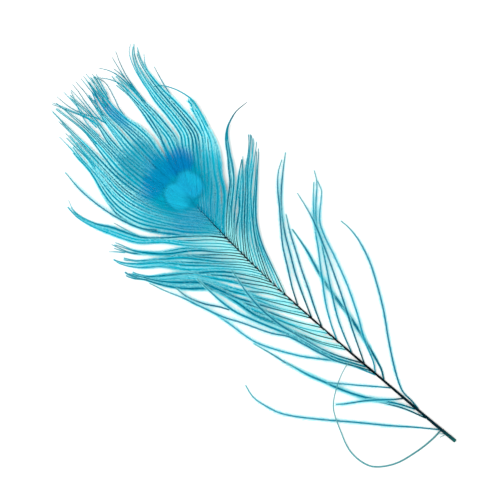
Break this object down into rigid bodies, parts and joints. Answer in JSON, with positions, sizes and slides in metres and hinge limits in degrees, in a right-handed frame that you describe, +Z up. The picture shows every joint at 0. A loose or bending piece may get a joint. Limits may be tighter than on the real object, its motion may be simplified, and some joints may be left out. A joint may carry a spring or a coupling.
{
  "type": "peacock feather",
  "caption": "Dyed turquoise peacock eye feather lying face up: a thin tapered shaft with loose barbs low down, a denser vane and a heart-shaped eye near the tip.",
  "frame": {"origin": "middle of the feather's box at the surface that it lies on", "axes": "+Y along the shaft from the cut quill end to the tips, +X to the feather's right seen from above, +Z up out of its face"},
  "size_m": [0.1167, 0.2897, 0.0051],
  "materials": {
    "dyed_shaft": "satin",
    "dyed_vane": "satin",
    "dyed_eye": "satin",
    "dyed_loose_barbs": "satin",
    "bare_filament": "matte"
  },
  "bodies": {
    "root": {"eye_lock_crown": "dyed_eye", "eye_lock_left_a": "dyed_eye", "eye_lock_left_b": "dyed_eye", "eye_lock_left_c": "dyed_eye", "eye_lock_left_d": "dyed_eye", "eye_lock_left_e": "dyed_eye", "eye_lock_left_edge": "dyed_eye", "eye_lock_right_a": "dyed_eye", "eye_lock_right_b": "dyed_eye", "eye_lock_right_edge": "dyed_eye", "filament": "bare_filament", "left_barb_broken_high": "dyed_loose_barbs", "left_barb_broken_low": "dyed_loose_barbs", "left_barb_forked": "dyed_loose_barbs", "left_barb_long_a": "dyed_loose_barbs", "left_barb_long_b": "dyed_loose_barbs", "left_barb_long_c": "dyed_loose_barbs", "left_barb_long_d": "dyed_loose_barbs", "left_barb_low_a": "dyed_loose_barbs", "left_barb_low_b": "dyed_loose_barbs", "left_barb_sweeping": "dyed_loose_barbs", "left_barb_upright": "dyed_loose_barbs", "left_lock_a": "dyed_vane", "left_lock_b": "dyed_vane", "left_lock_c": "dyed_vane", "left_lock_d": "dyed_vane", "right_barb_crossing": "dyed_loose_barbs", "right_barb_long_a": "dyed_loose_barbs", "right_barb_long_b": "dyed_loose_barbs", "right_barb_long_c": "dyed_loose_barbs", "right_barb_long_d": "dyed_loose_barbs", "right_barb_middle_a": "dyed_loose_barbs", "right_barb_middle_b": "dyed_loose_barbs", "right_barb_middle_c": "dyed_loose_barbs", "right_barb_sweeping": "dyed_loose_barbs", "right_lock_a": "dyed_vane", "right_lock_b": "dyed_vane", "right_lock_c": "dyed_vane", "right_lock_curl": "dyed_vane", "right_lock_d": "dyed_vane", "shaft": "dyed_shaft"}
  },
  "joints": []
}
